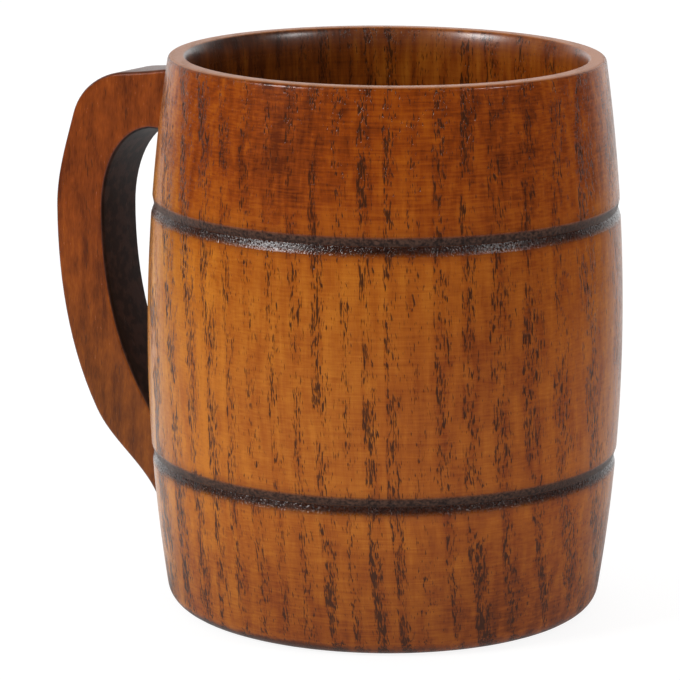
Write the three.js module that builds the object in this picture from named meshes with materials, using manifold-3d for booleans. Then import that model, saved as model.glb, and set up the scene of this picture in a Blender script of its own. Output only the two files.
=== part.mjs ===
// Wooden tankard: a barrel-shaped mug turned from one block of wood, with a stepped floor glued onto
// a ledge inside it and a flat, ear-shaped handle that is coped to it and held by two blind dowels.
// Units are millimetres. +Z is up, the origin is the centre of the underside, and the handle lies
// in the XZ plane on the -X side.

import * as THREE from 'three';
import { mergeVertices } from 'three/addons/utils/BufferGeometryUtils.js';
import Module from 'manifold-3d';

// Barrel, outside: two arcs that meet at the belly, rounded off at the base and the lip
const HEIGHT = 110;
const BELLY_RADIUS = 47.2;
const BELLY_HEIGHT = 54;
const BASE_TUCK = 4.4; // how much narrower the arc is at the base than at the belly, on the radius
const MOUTH_TUCK = 4.3; // how much narrower it is at the mouth
const BASE_ROUND_HEIGHT = 3.6; // over which the wall rounds under to the base
const LIP_ROUND_HEIGHT = 1.4; // over which the wall rounds into the lip
const LIP_INNER_ROUND = 1.5;

// Barrel, inside: a straight bore, with a ledge for the floor at its lower end
const LIP_WALL = 4; // wall thickness at the mouth, where it is thinnest
const FLOOR_HEIGHT = 8; // from the underside to the cup's floor
const LEDGE_HEIGHT = 4.5;
const LEDGE_WIDTH = 2.5;

// Scorched grooves round the barrel
const UPPER_GROOVE_DROP = 29.4; // from the rim down to the groove's middle
const LOWER_GROOVE_HEIGHT = 30.7;
const GROOVE_WIDTH = 3.7;
const GROOVE_DEPTH = 0.5;

// Handle board, in side view
const HANDLE_THICKNESS = 12.4;
const HANDLE_EDGE_ROUND = 0.8;
const GRIP_GAP = 17.5; // finger room between the belly and the handle, at its widest
const GRIP_WIDTH = 11.9; // inner edge to outer edge there
const GRIP_HEIGHT = 73; // height at which the handle reaches farthest from the barrel
const ARM_TOP_DROP = 5.3; // from the rim down to the arm's top edge, at the barrel
const ARM_DEPTH = 13.4; // height of the upper arm, at the barrel
const ARM_LENGTH = 16; // from the mouth's radius out to where the shoulder starts
const ARM_SLOPE = 2.35; // fall of the arm's top edge along that length
const SHOULDER_DEPTH = 9.65; // from the shoulder's start down to its end
const SHOULDER_INSET = 4.4; // from the farthest reach back to the shoulder's end
const ARCH_RUN = 11.6; // from the inner edge's farthest reach back to where the finger arch starts
const HEEL_HEIGHT = 31;
const HEEL_INSET = 9.7; // from the farthest reach back to the heel
const INSTEP_HEIGHT = 17.3;
const INSTEP_INSET = 23.1; // from the farthest reach back to the instep
const TOE_HEIGHT = 4.8;
const TOE_WIDTH = 4.1; // how far the blunt toe stands out from the barrel
const FOOT_LENGTH = 16.7; // from the toe up to where the inner edge meets the barrel
const SOLE_HEIGHT = 35.2; // a point on the inner edge above the foot
const SOLE_INSET = 10.3; // from the inner edge's farthest reach back to that point

// Dowels, with straight flutes that let the glue out
const DOWEL_RADIUS = 3;
const DOWEL_CHAMFER = 0.6;
const FLUTE_COUNT = 12;
const FLUTE_DEPTH = 0.3;
const DOWEL_SKIN = 1.6; // wood left between a dowel hole and the cup's inside
const UPPER_DOWEL_REACH = 14; // how far the dowel goes into the arm
const LOWER_DOWEL_REACH = 3.5;
const LOWER_DOWEL_RISE = 11.7; // from the toe up to the dowel's axis

// Clearances
const COPE_GAP = 0.3; // glue line between the handle and the barrel
const FIT_GAP = 0.15; // glue line round the floor and the dowels

// Fineness of round shapes
const TURNED_SIDES = 72;
const HOLE_SIDES = 32;
const WALL_STEPS = 6;
const ROUND_STEPS = 4;
const HANDLE_CURVE_STEPS = 9;
const FLUTE_STEPS = 6;

// Sizes that follow from those above
const mouthRadius = BELLY_RADIUS - MOUTH_TUCK;
const boreRadius = mouthRadius - LIP_WALL;
const ledgeRadius = boreRadius - LEDGE_WIDTH;
const upperGrooveHeight = HEIGHT - UPPER_GROOVE_DROP;
const armTop = HEIGHT - ARM_TOP_DROP;
const innerReach = BELLY_RADIUS + GRIP_GAP;
const outerReach = innerReach + GRIP_WIDTH;
const upperDowelHeight = armTop - ARM_DEPTH / 2;
const lowerDowelHeight = TOE_HEIGHT + LOWER_DOWEL_RISE;

const wasm = await Module();
wasm.setup();

// Radius of the arc that the barrel's outside follows at a height, below or above the belly
function arcRadius(height) {
  const below = height < BELLY_HEIGHT;
  const rise = below ? BELLY_HEIGHT : HEIGHT - BELLY_HEIGHT;
  const tuck = below ? BASE_TUCK : MOUTH_TUCK;
  return (rise ** 2 + tuck ** 2) / (2 * tuck);
}

// Radius of the barrel's outside at a height
function outerRadius(height) {
  const arc = arcRadius(height);
  return BELLY_RADIUS - arc + Math.sqrt(arc ** 2 - (height - BELLY_HEIGHT) ** 2);
}

// Points along the barrel's outside between two heights, both ends included
function wallPoints(from, to, offset = 0) {
  return Array.from({ length: WALL_STEPS + 1 }, (_, step) => {
    const height = from + ((to - from) * step) / WALL_STEPS;
    return new THREE.Vector2(outerRadius(height) + offset, height);
  });
}

// Points on a round about a centre, from one angle to another
function roundPoints(centreRadius, centreHeight, radius, fromAngle, toAngle) {
  return Array.from({ length: ROUND_STEPS + 1 }, (_, step) => {
    const angle = fromAngle + ((toAngle - fromAngle) * step) / ROUND_STEPS;
    return new THREE.Vector2(
      centreRadius + radius * Math.cos(angle),
      centreHeight + radius * Math.sin(angle),
    );
  });
}

// Points on the round that leaves the barrel's outside smoothly at one height and is level at another
function roundOff(from, to) {
  const lean = Math.asin((from - BELLY_HEIGHT) / arcRadius(from));
  const radius = Math.abs(to - from) / (1 - Math.abs(Math.sin(lean)));
  const side = Math.sign(to - from);
  const centreRadius = outerRadius(from) - radius * Math.cos(lean);
  return roundPoints(centreRadius, to - side * radius, radius, lean, (side * Math.PI) / 2);
}

// A profile of radius and height, turned about the Z axis
function turned(profile) {
  return new THREE.LatheGeometry(profile, TURNED_SIDES).rotateX(Math.PI / 2);
}

// A rod made along Z, laid so that it points away from the barrel's axis towards -X
function laidOutward(rod, reach, height) {
  return rod.rotateY(-Math.PI / 2).translate(-reach, 0, height);
}

// A closed geometry as a solid that can be cut
function solidOf(geometry) {
  const bare = geometry.clone();
  bare.deleteAttribute('normal');
  bare.deleteAttribute('uv');
  const merged = mergeVertices(bare);
  const mesh = new wasm.Mesh({
    numProp: 3,
    vertProperties: new Float32Array(merged.attributes.position.array),
    triVerts: new Uint32Array(merged.index.array),
  });
  return new wasm.Manifold(mesh);
}

// A geometry with other geometries cut away
function cutFrom(geometry, tools) {
  const solid = tools.reduce((rest, tool) => rest.subtract(solidOf(tool)), solidOf(geometry));
  const { vertProperties, triVerts } = solid.getMesh();
  const result = new THREE.BufferGeometry();
  result.setAttribute('position', new THREE.BufferAttribute(vertProperties, 3));
  result.setIndex(new THREE.BufferAttribute(triVerts, 1));
  result.computeVertexNormals();
  return result;
}

// The barrel's profile runs up the outside, over the lip, down the bore and over the ledge
function barrelProfile() {
  const groove = (height) => new THREE.Vector2(outerRadius(height) - GROOVE_DEPTH, height);
  const half = GROOVE_WIDTH / 2;
  const lipStart = HEIGHT - LIP_ROUND_HEIGHT;
  const innerRoundRadius = boreRadius + LIP_INNER_ROUND;
  const innerRoundHeight = HEIGHT - LIP_INNER_ROUND;
  const profile = [
    new THREE.Vector2(ledgeRadius, 0),
    ...roundOff(BASE_ROUND_HEIGHT, 0).reverse(),
    ...wallPoints(BASE_ROUND_HEIGHT, LOWER_GROOVE_HEIGHT - half).slice(1),
    groove(LOWER_GROOVE_HEIGHT),
    ...wallPoints(LOWER_GROOVE_HEIGHT + half, upperGrooveHeight - half),
    groove(upperGrooveHeight),
    ...wallPoints(upperGrooveHeight + half, lipStart).slice(0, -1),
    ...roundOff(lipStart, HEIGHT),
    ...roundPoints(innerRoundRadius, innerRoundHeight, LIP_INNER_ROUND, Math.PI / 2, Math.PI),
    new THREE.Vector2(boreRadius, LEDGE_HEIGHT),
    new THREE.Vector2(ledgeRadius, LEDGE_HEIGHT),
  ];
  return [...profile, profile[0].clone()];
}

// A round hole for a dowel, from the skin left inside the wall to its end in the handle
function dowelHole(height, reach) {
  const start = boreRadius + DOWEL_SKIN;
  const end = outerRadius(height) + COPE_GAP + reach + FIT_GAP;
  const radius = DOWEL_RADIUS + FIT_GAP;
  const rod = new THREE.CylinderGeometry(radius, radius, end - start, HOLE_SIDES);
  return laidOutward(rod.rotateX(Math.PI / 2), (start + end) / 2, height);
}

// A dowel: a fluted rod with chamfered ends, as long as its hole less the glue line at both ends
function dowel(height, reach) {
  const start = boreRadius + DOWEL_SKIN + FIT_GAP;
  const end = outerRadius(height) + COPE_GAP + reach;
  const count = FLUTE_COUNT * FLUTE_STEPS;
  const outline = new THREE.Shape(Array.from({ length: count }, (_, step) => {
    const angle = (2 * Math.PI * step) / count;
    const flute = Math.max(0, Math.cos(FLUTE_COUNT * angle));
    const radius = DOWEL_RADIUS - FLUTE_DEPTH * flute;
    return new THREE.Vector2(radius * Math.cos(angle), radius * Math.sin(angle));
  }));
  const rod = new THREE.ExtrudeGeometry(outline, {
    depth: end - start - 2 * DOWEL_CHAMFER,
    bevelThickness: DOWEL_CHAMFER,
    bevelSize: DOWEL_CHAMFER,
    bevelOffset: -DOWEL_CHAMFER,
    bevelSegments: 1,
  });
  return laidOutward(rod.translate(0, 0, DOWEL_CHAMFER), start, height);
}

// The stepped floor: a plug that fills the ledge's opening and a wide flange that rests on the ledge
function bottomProfile() {
  const plugRadius = ledgeRadius - FIT_GAP;
  const flangeRadius = boreRadius - FIT_GAP;
  const flangeHeight = LEDGE_HEIGHT + FIT_GAP;
  return [
    new THREE.Vector2(0, 0),
    new THREE.Vector2(plugRadius, 0),
    new THREE.Vector2(plugRadius, flangeHeight),
    new THREE.Vector2(flangeRadius, flangeHeight),
    new THREE.Vector2(flangeRadius, FLOOR_HEIGHT),
    new THREE.Vector2(0, FLOOR_HEIGHT),
  ];
}

// A point of the handle's edge: its distance from the barrel's axis, its height, and the way the
// edge heads there in degrees, where 0 is away from the barrel and -90 is down
function knot(reach, height, heading) {
  const angle = THREE.MathUtils.degToRad(heading);
  return { point: new THREE.Vector2(-reach, height), angle };
}

// A curve between two knots that is as full as a circle's arc
function bendTo(outline, from, to) {
  const chord = from.point.distanceTo(to.point);
  const pull = chord / (3 * Math.cos((to.angle - from.angle) / 4) ** 2);
  outline.bezierCurveTo(
    from.point.x - pull * Math.cos(from.angle),
    from.point.y + pull * Math.sin(from.angle),
    to.point.x + pull * Math.cos(to.angle),
    to.point.y - pull * Math.sin(to.angle),
    to.point.x,
    to.point.y,
  );
}

// The handle's outline: down its outer edge from the arm to the toe, then up its inner edge
function handleOutline() {
  const shoulderHeight = armTop - ARM_SLOPE;
  const footTop = TOE_HEIGHT + FOOT_LENGTH;
  const armBottom = armTop - ARM_DEPTH;
  const toeReach = outerRadius(TOE_HEIGHT) + TOE_WIDTH;
  const outer = [
    knot(mouthRadius, armTop, -8),
    knot(mouthRadius + ARM_LENGTH, shoulderHeight, -5),
    knot(outerReach - SHOULDER_INSET, shoulderHeight - SHOULDER_DEPTH, -73),
    knot(outerReach, GRIP_HEIGHT, -90),
    knot(outerReach - HEEL_INSET, HEEL_HEIGHT, -120),
    knot(outerReach - INSTEP_INSET, INSTEP_HEIGHT, -130),
    knot(toeReach, TOE_HEIGHT, -110),
  ];
  const inner = [
    knot(outerRadius(footTop), footTop, 40),
    knot(innerReach - SOLE_INSET, SOLE_HEIGHT, 56),
    knot(innerReach, GRIP_HEIGHT, 90),
    knot(innerReach - ARCH_RUN, armBottom, 170),
  ];
  const outline = new THREE.Shape();
  outline.moveTo(0, armTop);
  outline.lineTo(outer[0].point.x, outer[0].point.y);
  outer.slice(1).forEach((next, index) => bendTo(outline, outer[index], next));
  outline.lineTo(0, TOE_HEIGHT);
  outline.lineTo(0, footTop);
  outline.lineTo(inner[0].point.x, inner[0].point.y);
  inner.slice(1).forEach((next, index) => bendTo(outline, inner[index], next));
  outline.lineTo(0, armBottom);
  return outline;
}

// The handle before it is coped: its outline cut from a board, with eased edges
function handleBoard() {
  const depth = HANDLE_THICKNESS - 2 * HANDLE_EDGE_ROUND;
  const board = new THREE.ExtrudeGeometry(handleOutline(), {
    depth,
    curveSegments: HANDLE_CURVE_STEPS,
    bevelThickness: HANDLE_EDGE_ROUND,
    bevelSize: HANDLE_EDGE_ROUND,
    bevelOffset: -HANDLE_EDGE_ROUND,
    bevelSegments: 2,
  });
  return board.translate(0, 0, -depth / 2).rotateX(Math.PI / 2);
}

// What the handle is coped to: the barrel's outside without its grooves, out by the glue line
function copingTool() {
  return turned([
    new THREE.Vector2(0, 0),
    ...wallPoints(0, HEIGHT, COPE_GAP),
    new THREE.Vector2(0, HEIGHT),
  ]);
}

// One named piece with its own material
function piece(name, geometry, color, roughness) {
  const material = new THREE.MeshStandardMaterial({ color, roughness, metalness: 0 });
  const mesh = new THREE.Mesh(geometry, material);
  mesh.name = name;
  return mesh;
}

const upperHole = dowelHole(upperDowelHeight, UPPER_DOWEL_REACH);
const lowerHole = dowelHole(lowerDowelHeight, LOWER_DOWEL_REACH);

const tankard = new THREE.Group();
tankard.add(
  piece('barrel', cutFrom(turned(barrelProfile()), [upperHole, lowerHole]), '#9a531f', 0.32),
  piece('bottom_disc', turned(bottomProfile()), '#8a4a1d', 0.4),
  piece('handle', cutFrom(handleBoard(), [copingTool(), upperHole, lowerHole]), '#7b3f1c', 0.35),
  piece('upper_dowel', dowel(upperDowelHeight, UPPER_DOWEL_REACH), '#c79c67', 0.7),
  piece('lower_dowel', dowel(lowerDowelHeight, LOWER_DOWEL_REACH), '#c79c67', 0.7),
);

export default tankard;
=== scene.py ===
import math

import bmesh
import bpy
from mathutils import Matrix, Vector
from mathutils.geometry import interpolate_bezier


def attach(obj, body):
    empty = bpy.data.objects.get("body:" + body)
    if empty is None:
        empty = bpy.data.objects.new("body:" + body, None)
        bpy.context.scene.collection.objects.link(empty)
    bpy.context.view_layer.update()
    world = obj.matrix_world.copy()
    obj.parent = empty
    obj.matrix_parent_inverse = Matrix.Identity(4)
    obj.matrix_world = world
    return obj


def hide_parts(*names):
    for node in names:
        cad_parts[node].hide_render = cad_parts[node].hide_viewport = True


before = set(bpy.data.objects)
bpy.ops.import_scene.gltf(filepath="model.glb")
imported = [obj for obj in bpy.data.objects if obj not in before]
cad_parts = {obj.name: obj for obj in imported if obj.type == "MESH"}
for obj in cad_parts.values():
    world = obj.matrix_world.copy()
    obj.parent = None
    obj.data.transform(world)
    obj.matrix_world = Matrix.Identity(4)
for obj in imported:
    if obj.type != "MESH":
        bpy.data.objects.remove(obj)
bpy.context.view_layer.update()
scene = bpy.context.scene
scene.view_settings.view_transform = "Standard"

# Camera
# A long lens a little above the lip looks down into the mouth, with the handle on its left and
# turned half away. It is rolled by a hair.
camera_place = Vector((0.37916, -0.6168, 0.21433))
camera_aim = Vector((-0.0076, -0.00467, 0.05265))
camera_roll = 0.0054
focal_length = 197.1
film_width = 36
camera_lens = bpy.data.cameras.new("camera")
camera_lens.lens = focal_length
camera_lens.sensor_width = film_width
camera = bpy.data.objects.new("camera", camera_lens)
camera.matrix_world = (
    Matrix.Translation(camera_place)
    @ (camera_aim - camera_place).to_track_quat("-Z", "Y").to_matrix().to_4x4()
    @ Matrix.Rotation(camera_roll, 4, "Z")
)
scene.collection.objects.link(camera)
scene.camera = camera

# Barrel
# The body is one block of ring-porous hardwood with upright grain, turned outside in two arcs that
# meet at the belly and bored straight to a ledge for the floor. Two shallow V-grooves are burned in
# on the lathe, and the whole is stained red-brown and lacquered.
barrel_height = 0.110
belly_radius = 0.04719
belly_height = 0.054
base_tuck = 0.0044
mouth_tuck = 0.0043
base_round = 0.0042
lip_round = 0.0009
lip_ease_width = 0.0012
lip_ease_depth = 0.004
lip_wall = 0.004
ledge_height = 0.0045
ledge_width = 0.0025
ledge_ease = 0.0002
groove_heights = (0.0307, 0.0806)
groove_width = 0.0037
groove_depth = 0.0005
mouth_radius = belly_radius - mouth_tuck
bore_radius = mouth_radius - lip_wall
ledge_radius = bore_radius - ledge_width


def wall_radius(height):
    """Radius of the barrel's outside, on the arc below or above the belly."""
    below = height < belly_height
    rise = belly_height if below else barrel_height - belly_height
    tuck = base_tuck if below else mouth_tuck
    bow = (rise**2 + tuck**2) / (2 * tuck)
    return belly_radius - bow + math.sqrt(bow**2 - (height - belly_height) ** 2)


def wall(low, high, steps=22):
    """Corners along the barrel's outside between two heights, without the ends."""
    heights = [low + (high - low) * step / steps for step in range(1, steps)]
    return [(wall_radius(height), height, 0) for height in heights]


def groove(height, edge_round=0.0006, root_round=0.0004):
    """Corners of a burned V-groove: its lower edge, its root and its upper edge."""
    low = height - groove_width / 2
    high = height + groove_width / 2
    return [
        (wall_radius(low), low, edge_round),
        (wall_radius(height) - groove_depth, height, root_round),
        (wall_radius(high), high, edge_round),
    ]


def lip_ease(steps=16):
    """Corners of the lip's inner edge, a quarter of an oval from the top down into the bore."""
    turns = [math.pi / 2 * step / steps for step in range(steps + 1)]
    return [
        (
            bore_radius + lip_ease_width * (1 - math.sin(turn)),
            barrel_height - lip_ease_depth * (1 - math.cos(turn)),
            0,
        )
        for turn in turns
    ]


def eased(corners, arc_steps=10):
    """Points of a profile from its corners of radius, height and rounding."""
    points = []
    befores = corners[-1:] + corners[:-1]
    afters = corners[1:] + corners[:1]
    for before, (radius, height, rounding), after in zip(befores, corners, afters):
        edge = Vector((radius, 0, height))
        if not rounding:
            points.append(edge)
            continue
        back = (Vector((before[0], 0, before[1])) - edge).normalized()
        ahead = (Vector((after[0], 0, after[1])) - edge).normalized()
        turn = math.pi - back.angle(ahead)
        reach = rounding * math.tan(turn / 2)
        pull = reach - rounding * math.tan(turn / 4) * 4 / 3
        points += interpolate_bezier(
            edge + back * reach,
            edge + back * pull,
            edge + ahead * pull,
            edge + ahead * reach,
            arc_steps,
        )
    return points


def turned(points, closed=True, steps=240, weld=1e-6):
    """A profile turned full circle about the barrel's axis."""
    shape = bmesh.new()
    rim = [shape.verts.new(point) for point in points]
    pairs = list(zip(rim, rim[1:]))
    if closed:
        pairs.append((rim[-1], rim[0]))
    edges = [shape.edges.new(pair) for pair in pairs]
    bmesh.ops.spin(
        shape,
        geom=rim + edges,
        axis=(0, 0, 1),
        cent=(0, 0, 0),
        angle=2 * math.pi,
        steps=steps,
        use_merge=True,
    )
    bmesh.ops.remove_doubles(shape, verts=shape.verts, dist=weld)
    bmesh.ops.recalc_face_normals(shape, faces=shape.faces)
    return shape


def made(name, shape):
    """An object of a finished shape, at the origin."""
    mesh = bpy.data.meshes.new(name)
    shape.to_mesh(mesh)
    shape.free()
    result = bpy.data.objects.new(name, mesh)
    scene.collection.objects.link(result)
    return result


def cut(body, *tools):
    """Cuts the shapes of some tools out of an object for good."""
    for tool in tools:
        cutter = made("cutter", tool)
        bite = body.modifiers.new("bite", "BOOLEAN")
        bite.object = cutter
        bite.solver = "EXACT"
        done = body.evaluated_get(bpy.context.evaluated_depsgraph_get())
        body.data = bpy.data.meshes.new_from_object(done)
        body.modifiers.clear()
        bpy.data.objects.remove(cutter)


def fitted(body, node, finish, crease=35):
    """Shades a piece, gives it its finish and puts it in the place of its CAD node."""
    body.data.shade_smooth()
    body.data.set_sharp_from_angle(angle=math.radians(crease))
    body.data.materials.clear()
    body.data.materials.append(finish)
    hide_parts(node)
    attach(body, "root")


fit_gap = 0.00015
cope_gap = 0.0003  # the solids' glue line at the handle, which the dowels cross
arm_drop = 0.0053
arm_depth = 0.0134
arm_top = barrel_height - arm_drop
toe_height = 0.0048
lower_dowel_rise = 0.0117
dowel_radius = 0.003
dowel_skin = 0.0016
dowel_heights = {"upper_dowel": arm_top - arm_depth / 2, "lower_dowel": toe_height + lower_dowel_rise}
dowel_reaches = {"upper_dowel": 0.014, "lower_dowel": 0.0035}


def outward_from(reach, height):
    """Lays a rod made along Z so that it points from the barrel's axis towards the handle."""
    return Matrix.Translation((-reach, 0, height)) @ Matrix.Rotation(-math.pi / 2, 4, "Y")


def dowel_hole(name, sides=48):
    """The blind hole of a dowel, from the skin left inside the wall to its end in the handle."""
    height = dowel_heights[name]
    start = bore_radius + dowel_skin
    end = wall_radius(height) + dowel_reaches[name] + cope_gap + fit_gap
    hole = bmesh.new()
    bmesh.ops.create_cone(
        hole,
        cap_ends=True,
        segments=sides,
        radius1=dowel_radius + fit_gap,
        radius2=dowel_radius + fit_gap,
        depth=end - start,
        matrix=outward_from((start + end) / 2, height),
    )
    return hole


lower_groove, upper_groove = groove_heights
half_groove = groove_width / 2
round_share = 0.9  # the plain wall starts at this share of a round's radius
middle_band_steps = 36
barrel_profile = eased(
    [
        (ledge_radius, 0, ledge_ease),
        (wall_radius(0), 0, base_round),
        *wall(base_round * round_share, lower_groove - half_groove),
        *groove(lower_groove),
        *wall(lower_groove + half_groove, upper_groove - half_groove, middle_band_steps),
        *groove(upper_groove),
        *wall(upper_groove + half_groove, barrel_height - lip_round * round_share),
        (mouth_radius, barrel_height, lip_round),
        *lip_ease(),
        (bore_radius, ledge_height, 0),
        (ledge_radius, ledge_height, 0),
    ]
)
barrel = made("barrel_body", turned(barrel_profile))
cut(barrel, *[dowel_hole(name) for name in dowel_heights])


class Tone:
    """A value on a surface. Sums and products of tones add Math nodes to the finish."""

    def __init__(self, tree, socket=None):
        self.tree = tree
        self.socket = socket

    def node(self, kind, settings, inputs, output=0):
        """Adds a node with its settings and the values or links of its sockets."""
        new = self.tree.nodes.new(kind)
        for setting, value in settings.items():
            if setting == "stops":
                while len(new.color_ramp.elements) < len(value):
                    new.color_ramp.elements.new(1)
                for stop, (position, colour) in zip(new.color_ramp.elements, value):
                    stop.position = position
                    stop.color = colour
            else:
                setattr(new, setting, value)
        for name, value in inputs.items():
            if isinstance(value, Tone):
                self.tree.links.new(value.socket, new.inputs[name])
            else:
                new.inputs[name].default_value = value
        return Tone(self.tree, new.outputs[output] if new.outputs else None)

    def math(self, operation, *values):
        """A number worked out from numbers."""
        return self.node("ShaderNodeMath", {"operation": operation}, dict(enumerate(values)))

    def measure(self, operation, *places):
        """A number worked out from places, such as a length or a distance."""
        return self.node("ShaderNodeVectorMath", {"operation": operation}, dict(enumerate(places)), 1)

    def __add__(self, other):
        return self.math("ADD", self, other)

    def __sub__(self, other):
        return self.math("SUBTRACT", self, other)

    def __rsub__(self, other):
        return self.math("SUBTRACT", other, self)

    def __mul__(self, other):
        return self.math("MULTIPLY", self, other)

    def __truediv__(self, other):
        return self.math("DIVIDE", self, other)

    def __rtruediv__(self, other):
        return self.math("DIVIDE", other, self)

    def __abs__(self):
        return self.math("ABSOLUTE", self)

    __radd__ = __add__
    __rmul__ = __mul__

    def rise(self, low, high):
        """0 up to low, 1 from high on, and a smooth rise between."""
        return self.node(
            "ShaderNodeMapRange",
            {"interpolation_type": "SMOOTHSTEP"},
            {"Value": self, "From Min": low, "From Max": high},
        )

    def fall(self, low, high):
        """1 up to low, 0 from high on, and a smooth fall between."""
        return 1 - self.rise(low, high)

    def swing(self, width):
        """Noise about 0.5 as a swing of this width about 0."""
        return (self - 0.5) * width

    def ramp(self, *stops):
        """A colour from stops of position and colour."""
        return self.node("ShaderNodeValToRGB", {"stops": stops}, {0: self})

    def mix(self, zero, one):
        """The colour zero where this tone is 0, and one where it is 1."""
        return self.node("ShaderNodeMix", {"data_type": "RGBA"}, {0: self, 6: zero, 7: one}, 2)

    def tint(self, colour, glaze):
        """A colour seen through a glaze where this tone is 1."""
        settings = {"data_type": "RGBA", "blend_type": "MULTIPLY"}
        return self.node("ShaderNodeMix", settings, {0: self, 6: colour, 7: glaze}, 2)

    def part(self, axis):
        """One coordinate of a place."""
        return self.node("ShaderNodeSeparateXYZ", {}, {0: self}, "XYZ".index(axis))

    def scaled(self, across, along, up):
        """A place counted in steps of these lengths."""
        return self.node("ShaderNodeVectorMath", {"operation": "DIVIDE"}, {0: self, 1: (across, along, up)})

    def turned(self, turn):
        """A place turned about the origin."""
        return self.node("ShaderNodeMapping", {"vector_type": "POINT"}, {"Vector": self, "Rotation": turn})

    def noise(self, across, along, up, detail=2):
        """Soft noise about 0.5 whose lumps have these lengths."""
        sockets = {"Vector": self.scaled(across, along, up), "Scale": 1, "Detail": detail}
        return self.node("ShaderNodeTexNoise", {}, sockets)


def shade(red, green, blue, toe=0.055, gamma=2.4):
    """A stain's colour as it looks in print, for a shader."""
    return tuple(((c / 255 + toe) / (1 + toe)) ** gamma for c in (red, green, blue)) + (1,)


millimetre = 0.001


def bare_finish(name):
    """A new finish and the place on its surface in millimetres."""
    finish = bpy.data.materials.new(name)
    finish.use_nodes = True
    finish.node_tree.nodes.clear()
    start = Tone(finish.node_tree)
    surface = start.node("ShaderNodeTexCoord", {}, {}, "Object")
    return finish, surface.scaled(millimetre, millimetre, millimetre)


wood_ior = 1.48
pool_roughness = 0.28


def wooden(colour, roughness, relief, pooled=0):
    """Closes a finish of wood, with its relief in millimetres and where lacquer has pooled on it."""
    bump = colour.node("ShaderNodeBump", {}, {"Height": relief, "Distance": millimetre})
    wood = colour.node(
        "ShaderNodeBsdfPrincipled",
        {},
        {
            "Base Color": colour,
            "Roughness": roughness,
            "Normal": bump,
            "IOR": wood_ior,
            "Coat Weight": pooled,
            "Coat Roughness": pool_roughness,
        },
    )
    colour.node("ShaderNodeOutputMaterial", {}, {"Surface": wood})


def board(place, turn, ring_gap, ring_bow, lean, offset=0):
    """A place in a board, across its rings, along them and along the grain, and its count of rings."""
    sawn_place = place.turned(turn)
    across = sawn_place.part("X")
    along = sawn_place.part("Y")
    grain = sawn_place.part("Z")
    slow_bend = sawn_place.noise(70, 70, 90) * 5
    quick_bend = sawn_place.noise(6, 6, 18) * 1.8
    wander = sawn_place.noise(9, 9, 22) * 1.8
    uneven_years = sawn_place.noise(6, 60, 200) * 3
    across = across + along * along / (2 * ring_bow) + grain * lean + (slow_bend + quick_bend) + offset
    bent = place.node("ShaderNodeCombineXYZ", {}, {0: across, 1: along + wander, 2: grain})
    return bent, (across + uneven_years) / ring_gap


def early_wood(bent, rings, band, onset=0.12, full=0.3):
    """The porous first part of each ring, which comes and goes along the grain."""
    phase = rings.math("FRACT", rings)
    number = rings.math("FLOOR", rings)
    year = rings.node("ShaderNodeTexWhiteNoise", {"noise_dimensions": "1D"}, {"W": number})
    patch = bent.noise(3, 3, 8).rise(0.28, 0.55)
    return phase.rise(0, onset) * phase.fall(band * full, band) * (year * 0.5 + 0.5) * patch


def pores(bent, early, thickness, length, few=0.7, many=0.48):
    """Open pores cut lengthwise: ragged dark dashes, few in late wood and many in early wood."""
    grain = bent.noise(thickness, thickness, length, detail=1)
    limit = few - early * (few - many)
    ragged_edge = (-0.01, 0.12)
    return (grain - limit).rise(*ragged_edge)


pale_stain = shade(198, 116, 26)
warm_stain = shade(170, 88, 14)
ruddy_stain = shade(142, 64, 8)
deep_stain = shade(98, 40, 6)
pore_stain = shade(64, 33, 14)
lip_stain_and_sheen = shade(205, 124, 62)
scorch = shade(64, 29, 16)
ash = shade(84, 56, 42)
root_black = shade(24, 10, 8)
top_glaze = (1.0, 0.9, 0.6, 1)
foot_glaze = (0.93, 1.0, 1.05, 1)
# Bore glazes: a greyer tint as a painted haze of reflection, and painted shade on the left
bore_reflection_glaze = (0.95, 1.0, 1.8, 1)
bore_left_shade_glaze = (0.7, 0.92, 1.15, 1)
# Painted sheen at the barrel's left and right edges, stronger in the top band
edge_sheen_glaze = (1.1, 1.4, 2.0, 1)
top_edge_sheen_glaze = (1.3, 1.7, 2.2, 1)


def stained(tone):
    """The stain's colour, from deep where the tone is 0 to pale where it is 1."""
    return tone.ramp((0, deep_stain), (0.3, ruddy_stain), (0.6, warm_stain), (1, pale_stain))


ring_direction = math.radians(31.58)
no_height = 1e9  # divides the height of a place away
barrel_roughness = 0.17
# Where the stain and painted light change on the barrel, then how far scorching reaches from a groove's
# root, in mm
wall_middle = (42.2, 43.2)
left_shading_span = (25, -40)
edge_sheen_width = (36, 47)
top_soak_heights = (72, 96)
foot_soak_heights = (4, 34)
lip_heights = (109.7, 109.95)
lip_inside_heights = (103, 108)
lip_inside_radii = (39.4, 40.2)
root_turn = 0.15
root_edge = (0.1, 0.7)
upper_flank_edge = (1.2, 2.1)
lower_flank_edge = (1.65, 1.95)
scorch_edge = (0.9, 2.3)
halo_edge = (1.6, 3.4)
barrel_finish, place = bare_finish("barrel_lacquered_wood")
bent, rings = board(place, (0, 0, -ring_direction), ring_gap=4.8, ring_bow=170, lean=0.055)
width = place.turned((0, 0, -ring_direction)).part("X")
height = place.part("Z")
radius = place.measure("LENGTH", place.scaled(1, 1, no_height))
outside = radius.rise(*wall_middle)
inside = 1 - outside
# Towards the left: more open pores, painted light on the outside and painted shade in the bore
left_shading_and_open_grain = width.rise(*left_shading_span)
# Painted sheen: the outside paler towards its left and right edges
painted_edge_sheen = abs(width).rise(*edge_sheen_width) * outside
top_soak = height.rise(*top_soak_heights) * outside
foot_soak = height.fall(*foot_soak_heights)
hatched = top_soak + foot_soak * outside

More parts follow.
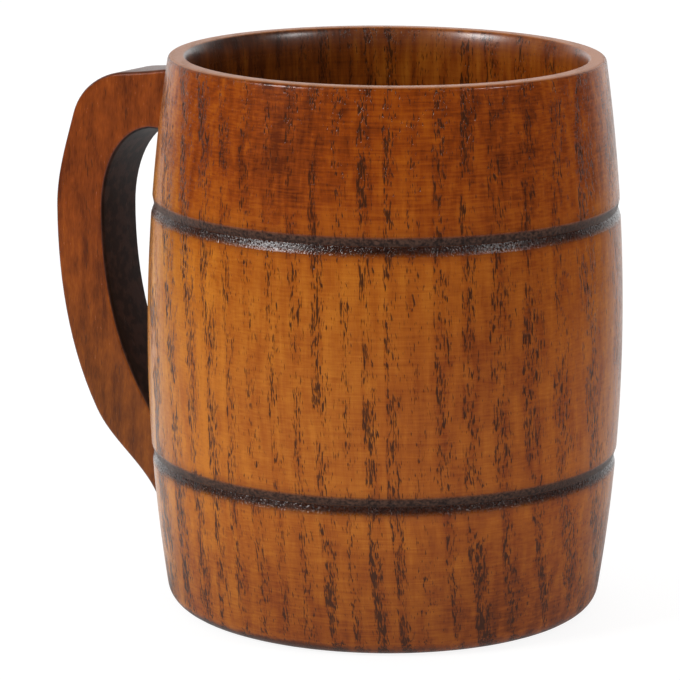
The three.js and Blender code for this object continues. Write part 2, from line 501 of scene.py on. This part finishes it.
early = early_wood(bent, rings, band=0.9)
open_wood = early * (1 + foot_soak * 0.25 + left_shading_and_open_grain * 0.25)
dashes = pores(bent, open_wood, thickness=0.36, length=2.2)
specks = pores(bent, open_wood, thickness=0.26, length=1.6, few=0.69, many=0.52)
pore = dashes.math("MAXIMUM", dashes, specks * 0.85)
streak = bent.noise(1.1, 1.1, 16)
blotch = bent.noise(2.5, 2.5, 7, detail=3)
fibre = bent.noise(0.3, 0.3, 3)
cloud = bent.noise(18, 18, 40)
fleck = bent.noise(6, 1.2, 0.4)
lathe_line = place.noise(60, 60, 0.5, detail=1)
smudge = bent.noise(3, 3, 4, detail=3).rise(0.48, 0.66) * top_soak
tone = (
    0.52
    + streak.swing(0.35 + inside * 0.5)
    + blotch.swing(0.7)
    + cloud.swing(0.6)
    + fleck.swing(0.42 + hatched * 0.16 - inside * 0.27)
    + fibre.swing(0.15)
    + lathe_line.swing(0.2 + hatched * 0.12)
    # painted light: the outside lighter towards the left, less so in the top band
    + left_shading_and_open_grain * 0.28 * (1 - top_soak)
    - top_soak * (0.16 + left_shading_and_open_grain * 0.04)
    - early * 0.12
    - smudge * 0.12
    - foot_soak * 0.23
    # painted shade: the bore darker, much darker towards its left
    - inside * (0.08 + left_shading_and_open_grain * 0.6)
)
colour = stained(tone)
colour = top_soak.tint(colour, top_glaze)
colour = foot_soak.tint(colour, foot_glaze)
# painted reflection: a greyer, bluer haze over the bore
colour = inside.tint(colour, bore_reflection_glaze)
# painted shade on the left of the bore
colour = (inside * left_shading_and_open_grain).tint(colour, bore_left_shade_glaze)
# painted sheen at both edges, paler still in the top band
colour = painted_edge_sheen.tint(colour, edge_sheen_glaze)
colour = (painted_edge_sheen * top_soak).tint(colour, top_edge_sheen_glaze)
colour = (pore * 0.93).mix(colour, pore_stain)

upper_flank = 0
lower_flank = 0
scorched = 0
root_line = 0
halo = 0
for groove_height in groove_heights:
    above = height - groove_height / millimetre
    off = abs(above)
    upper_side = above.rise(-root_turn, root_turn)
    upper_flank = upper_flank + off.fall(*upper_flank_edge) * outside * upper_side
    lower_flank = lower_flank + off.fall(*lower_flank_edge) * outside * (1 - upper_side)
    scorched = scorched + off.fall(*scorch_edge) * outside * (1 - upper_side)
    root_line = root_line + off.fall(*root_edge) * outside
    halo = halo + off.fall(*halo_edge) * outside
char = place.noise(0.6, 0.6, 0.5, detail=1)
blister = place.noise(0.42, 0.42, 0.42, detail=1)
lip = height.rise(*lip_heights)
lip_inside = height.rise(*lip_inside_heights) * radius.fall(*lip_inside_radii)
colour = (halo * 0.35).mix(colour, deep_stain)
colour = (upper_flank * 0.95).mix(colour, char.rise(0.3, 0.7).mix(root_black, ash))
colour = (scorched * 0.95).mix(colour, char.rise(0.3, 0.8).mix(root_black, scorch))
colour = (root_line * 0.4).mix(colour, root_black)
# The lip's top painted paler: partly the wood's own colour, partly a painted sheen
colour = (lip * 0.7).mix(colour, lip_stain_and_sheen)
blistered = (lower_flank + upper_flank * 0.3) * (blister - 0.5) * 0.2
relief = pore * -0.07 + fibre * 0.03 + streak * 0.02 + blistered
sheen_loss = upper_flank * 0.15 - lower_flank * 0.06 + lip_inside * 0.14 + lip * 0.16
pooled = lower_flank * blister.rise(0.4, 0.56) + lip_inside
wooden(colour, barrel_roughness + fibre * 0.08 + sheen_loss, relief, pooled)
fitted(barrel, "barrel", barrel_finish)

# Bottom disc
# The cup's floor is a separate disc of the same wood with its grain across the cup, turned with a
# step and glued onto the barrel's ledge from above. Its edges are eased.
floor_height = 0.008
plug_ease = 0.0004
flange_ease = 0.0002
floor_ease = 0.0005
plug_radius = ledge_radius - fit_gap
flange_radius = bore_radius - fit_gap
flange_height = ledge_height + fit_gap
disc_profile = eased(
    [
        (0, 0, 0),
        (plug_radius, 0, plug_ease),
        (plug_radius, flange_height, 0),
        (flange_radius, flange_height, flange_ease),
        (flange_radius, floor_height, floor_ease),
        (0, floor_height, 0),
    ]
)
bottom = made("bottom_plate", turned(disc_profile, closed=False))
disc_turn = (0, math.radians(80), math.radians(20))
disc_roughness = 0.36
bottom_finish, place = bare_finish("bottom_lacquered_wood")
bent, rings = board(place, disc_turn, ring_gap=3.6, ring_bow=60, lean=0.03)
early = early_wood(bent, rings, band=0.45)
pore = pores(bent, early, thickness=0.55, length=3.6)
streak = bent.noise(1.3, 1.3, 60, detail=3)
fibre = bent.noise(0.2, 0.2, 7)
colour = stained(0.4 + streak.swing(0.9) + fibre.swing(0.35) - early * 0.3)
colour = (pore * 0.85).mix(colour, pore_stain)
wooden(colour, disc_roughness + fibre * 0.1, pore * -0.06 + fibre * 0.03)
fitted(bottom, "bottom_disc", bottom_finish)

# Dowels
# Two beech pegs with straight flutes pin the handle's arm and foot to the wall. They sit in blind
# holes, so neither end shows, and the flutes let the glue out as they are driven in.
flute_count = 12
flute_steps = 6
flute_depth = 0.0003
dowel_chamfer = 0.0006
dark_beech = shade(196, 150, 98)
light_beech = shade(214, 174, 124)
lying_grain = (0, math.pi / 2, 0)
bare_roughness = 0.62
dowel_finish, place = bare_finish("dowel_raw_beech")
bent, _ = board(place, lying_grain, ring_gap=2.5, ring_bow=40, lean=0.02)
fibre = bent.noise(0.2, 0.2, 4)
colour = fibre.rise(0.2, 0.8).mix(dark_beech, light_beech)
wooden(colour, bare_roughness + fibre * 0.1, fibre * 0.04)


def thickened(shape, way):
    """Gives a flat shape of one face its thickness along a way."""
    grown = bmesh.ops.extrude_face_region(shape, geom=shape.faces[:])["geom"]
    far = [part for part in grown if isinstance(part, bmesh.types.BMVert)]
    bmesh.ops.translate(shape, verts=far, vec=way)
    bmesh.ops.recalc_face_normals(shape, faces=shape.faces)


def outline_edges(shape, strip_corners=4):
    """The edges round the two many-sided faces of a thickened shape, without those of its strips."""
    return [edge for edge in shape.edges if any(len(face.verts) > strip_corners for face in edge.link_faces)]


peg_sides = flute_count * flute_steps
for name, dowel_height in dowel_heights.items():
    start = bore_radius + dowel_skin + fit_gap
    end = wall_radius(dowel_height) + dowel_reaches[name] + cope_gap
    peg = bmesh.new()
    ring = bmesh.ops.create_circle(peg, cap_ends=True, segments=peg_sides, radius=dowel_radius)["verts"]
    for vert in ring:
        flute = max(0, math.cos(flute_count * math.atan2(vert.co.y, vert.co.x)))
        vert.co *= 1 - flute * flute_depth / dowel_radius
    thickened(peg, (0, 0, end - start))
    bmesh.ops.bevel(
        peg,
        geom=outline_edges(peg),
        offset=dowel_chamfer,
        segments=1,
        profile=0.5,
        affect="EDGES",
        material=-1,
    )
    bmesh.ops.transform(peg, matrix=outward_from(start, dowel_height), verts=peg.verts)
    fitted(made(f"{name}_peg", peg), name, dowel_finish)

# Handle
# A flat, ear-shaped board sawn from one plank with upright grain, its edges eased with a router and
# both ends coped to the barrel. It is glued and pinned on. Its sawn edges are painted darker, partly
# stain and partly painted shade: the outer one half way, and the inner one, facing the barrel, almost black.
handle_thickness = 0.0124
handle_round = 0.0008
grip_gap = 0.0175
grip_width = 0.0119
grip_height = 0.073
arm_length = 0.016
arm_slope = 0.00235
shoulder_depth = 0.00965
shoulder_inset = 0.0044
arch_run = 0.0116
heel_height = 0.031
heel_inset = 0.0097
instep_height = 0.0173
instep_inset = 0.0231
toe_width = 0.0041
foot_length = 0.0167
sole_height = 0.0352
sole_inset = 0.0103
root_reach = 0.03
glue_line = 0.00005
inner_reach = belly_radius + grip_gap
outer_reach = inner_reach + grip_width
shoulder_height = arm_top - arm_slope
foot_top = toe_height + foot_length
arm_bottom = arm_top - arm_depth
outer_edge = [
    (mouth_radius, arm_top, -8),
    (mouth_radius + arm_length, shoulder_height, -5),
    (outer_reach - shoulder_inset, shoulder_height - shoulder_depth, -73),
    (outer_reach, grip_height, -90),
    (outer_reach - heel_inset, heel_height, -120),
    (outer_reach - instep_inset, instep_height, -130),
    (wall_radius(toe_height) + toe_width, toe_height, -110),
]
inner_edge = [
    (wall_radius(foot_top), foot_top, 40),
    (inner_reach - sole_inset, sole_height, 56),
    (inner_reach, grip_height, 90),
    (inner_reach - arch_run, arm_bottom, 170),
]


def headed(heading):
    """The way of a heading in degrees, where 0 is away from the barrel and -90 is down."""
    turn = math.radians(heading)
    return Vector((-math.cos(turn), 0, math.sin(turn)))


def bends(knots, steps=15):
    """Points along an edge of the handle through knots of reach, height and heading in degrees."""
    points = []
    for (reach, height, heading), (next_reach, next_height, next_heading) in zip(knots, knots[1:]):
        start = Vector((-reach, 0, height))
        end = Vector((-next_reach, 0, next_height))
        turn = math.radians(next_heading - heading)
        pull = (end - start).length / (3 * math.cos(turn / 4) ** 2)
        leaving = start + headed(heading) * pull
        arriving = end - headed(next_heading) * pull
        points += interpolate_bezier(start, leaving, arriving, end, steps)[:-1]
    return points + [end]


outline = [
    Vector((-root_reach, 0, arm_top)),
    *bends(outer_edge),
    Vector((-root_reach, 0, toe_height)),
    Vector((-root_reach, 0, foot_top)),
    *bends(inner_edge),
    Vector((-root_reach, 0, arm_bottom)),
]
plank = bmesh.new()
plank.faces.new([plank.verts.new(point) for point in outline])
bmesh.ops.translate(plank, verts=plank.verts, vec=(0, -handle_thickness / 2, 0))
thickened(plank, (0, handle_thickness, 0))
bmesh.ops.bevel(
    plank,
    geom=outline_edges(plank),
    offset=handle_round,
    segments=4,
    profile=0.5,
    affect="EDGES",
    material=-1,
)
side_border = 0.0003  # keeps the round's shading off the flat sides
most_edge_corners = 8
flat_sides = [face for face in plank.faces if len(face.verts) > most_edge_corners]
bmesh.ops.inset_individual(plank, faces=flat_sides, thickness=side_border)
handle = made("handle_board", plank)
cope_steps = 60
cope_wall = [
    (wall_radius(0), 0, 0),
    *wall(0, barrel_height, cope_steps),
    (mouth_radius, barrel_height, 0),
]
cope_side = [Vector((reach + glue_line, 0, up)) for reach, up, _ in cope_wall]
cope = turned([Vector((0, 0, 0)), *cope_side, Vector((0, 0, barrel_height))], closed=False)
cut(handle, cope, *[dowel_hole(name) for name in dowel_heights])

dark_edge_stain_and_shade = shade(52, 31, 24)
low_glaze = (0.9, 1.2, 1.15, 1)
plank_turn = (0, 0, math.radians(-62))
handle_roughness = 0.2
# Where the stain and the painted shade of the edges change on the handle, in mm
arris_span = (5.96, 6.17)
gap_centre = (-26.8, 0, 62.8)
gap_edge = (43.5, 46)
low_stain_heights = (25, 80)
handle_finish, place = bare_finish("handle_lacquered_wood")
bent, rings = board(place, plank_turn, ring_gap=5.5, ring_bow=45, lean=0.04, offset=11)
early = early_wood(bent, rings, band=0.4)
pore = pores(bent, early, thickness=0.5, length=3, many=0.56)
streak = bent.noise(1.4, 1.4, 18)
blotch = bent.noise(3, 3, 6, detail=3)
fibre = bent.noise(0.3, 0.3, 1.5)
cloud = bent.noise(20, 20, 30)
inner_edge_mottle = place.noise(2.2, 2.2, 2.2, detail=3).rise(0.42, 0.62)
edge_face = abs(place.part("Y")).fall(*arris_span)
outward = place.measure("DISTANCE", place, gap_centre).rise(*gap_edge)
inner_face = edge_face * (1 - outward)
outer_face = edge_face * outward
low_stain = place.part("Z").fall(*low_stain_heights)
tone = (
    0.22
    + streak.swing(0.4)
    + blotch.swing(0.6)
    + fibre.swing(0.4)
    + cloud.swing(0.4)
    - early * 0.1
)
colour = low_stain.tint(stained(tone), low_glaze)
colour = (pore * 0.6).mix(colour, pore_stain)
# The inner edge, facing the barrel, painted almost black: partly stain, partly painted shade of the gap
colour = inner_face.mix(colour, inner_edge_mottle.mix(root_black, dark_edge_stain_and_shade))
# The outer edge half darkened: partly stain, partly painted shade along its outline
colour = (outer_face * 0.5).mix(colour, dark_edge_stain_and_shade)
sheen_loss = inner_face * 0.4 + outer_face * 0.1
wooden(colour, handle_roughness + fibre * 0.1 + sheen_loss, pore * -0.05 + fibre * 0.03)
fitted(handle, "handle", handle_finish, crease=40)

# Floor, lights and surroundings
# A white paper table keeps a soft shadow of the mug. The camera sees a white room, but what lights
# the mug and shows in its gloss is white only behind it and dim in front. A large softbox stands to
# the front left and a small, weaker one to the front right.
floor_radius = 4
floor_drop = 0.0001
tabletop = bmesh.new()
bmesh.ops.create_circle(tabletop, cap_ends=True, segments=96, radius=floor_radius)
bmesh.ops.translate(tabletop, verts=tabletop.verts, vec=(0, 0, -floor_drop))
floor = made("studio_floor", tabletop)


def ray(start, kind):
    """1 for rays of one kind: those of the camera, of gloss or of glass."""
    return start.node("ShaderNodeLightPath", {}, {}, f"Is {kind} Ray")


white = (1, 1, 1, 1)
paper_white = (0.8, 0.8, 0.8, 1)
shadow_grey = (0.25, 0.25, 0.25, 1)
paper_glow = 0.88
table_light = 0.35
near_gloss = 0.3
near_back_gloss = 0.65
near_right_loss = 0.2
far_back_gloss = 0.9
room_gloss = 0.04
table_edge = (80, 550)
white_wall = (0.5, 0.95)
# The barrel's rings are laid across the view, so their direction gives its right and its front
view_right = Vector((math.cos(ring_direction), math.sin(ring_direction), 0))
view_front = Vector((math.sin(ring_direction), -math.cos(ring_direction), 0))
floor_finish, place = bare_finish("studio_floor_paper")
shadow = place.node("ShaderNodeBsdfDiffuse", {}, {"Color": shadow_grey})
glow = place.node("ShaderNodeEmission", {}, {"Color": white, "Strength": paper_glow})
seen_paper = place.node("ShaderNodeAddShader", {}, {0: shadow, 1: glow})
paper = place.node("ShaderNodeBsdfDiffuse", {}, {"Color": paper_white})
lit = place.node("ShaderNodeEmission", {}, {"Color": white, "Strength": table_light})
lit_paper = place.node("ShaderNodeAddShader", {}, {0: paper, 1: lit})
apart = place.measure("LENGTH", place)
behind = place.measure("DOT_PRODUCT", place, -view_front) / apart
to_right = place.measure("DOT_PRODUCT", place, view_right) / apart
near_sheen = near_gloss + behind.math("MAXIMUM", behind, 0) * near_back_gloss
near_sheen = near_sheen * (1 - to_right * near_right_loss)
far_sheen = room_gloss + behind.rise(*white_wall) * far_back_gloss
sheen = near_sheen + (far_sheen - near_sheen) * apart.rise(*table_edge)
mirrored_paper = place.node("ShaderNodeEmission", {}, {"Color": sheen})
gloss = ray(place, "Glossy")
lighting_paper = place.node("ShaderNodeMixShader", {}, {0: gloss, 1: lit_paper, 2: mirrored_paper})
seen = ray(place, "Camera") + ray(place, "Transmission")
floor_paper = place.node("ShaderNodeMixShader", {}, {0: seen, 1: lighting_paper, 2: seen_paper})
place.node("ShaderNodeOutputMaterial", {}, {"Surface": floor_paper})
floor.data.materials.append(floor_finish)

room_light = 0.18
back_light = 1.0
lit_side = (-0.2, 0.9)
world = bpy.data.worlds.new("studio")
world.use_nodes = True
world.node_tree.nodes.clear()
scene.world = world
room = Tone(world.node_tree)
outlook = room.node("ShaderNodeTexCoord", {}, {}, "Generated")
behind = room.measure("DOT_PRODUCT", outlook, -view_front)
seen = ray(room, "Camera") + ray(room, "Transmission")
gloss = ray(room, "Glossy")
mirrored = room_gloss + behind.rise(*white_wall) * (1 - room_gloss)
lighting = room_light + behind.rise(*lit_side) * back_light
strength = seen + (1 - seen) * (gloss * mirrored + (1 - gloss) * lighting)
backdrop = room.node("ShaderNodeBackground", {}, {"Color": white, "Strength": strength})
room.node("ShaderNodeOutputWorld", {}, {"Surface": backdrop})

mug_middle = Vector((0, 0, 0.06))
softboxes = {
    "left_softbox": {"right": -1.24, "front": 0.72, "up": 0.85, "width": 0.5, "power": 13.5},
    "right_softbox": {"right": 1.24, "front": 0.72, "up": 0.85, "width": 0.25, "power": 4.2},
}
for name, box in softboxes.items():
    lamp = bpy.data.lights.new(name, "AREA")
    lamp.shape = "SQUARE"
    lamp.size = box["width"]
    lamp.energy = box["power"]
    softbox = bpy.data.objects.new(name, lamp)
    softbox.location = view_right * box["right"] + view_front * box["front"]
    softbox.location.z = box["up"]
    aim = mug_middle - softbox.location
    softbox.rotation_euler = aim.to_track_quat("-Z", "Y").to_euler()
    scene.collection.objects.link(softbox)
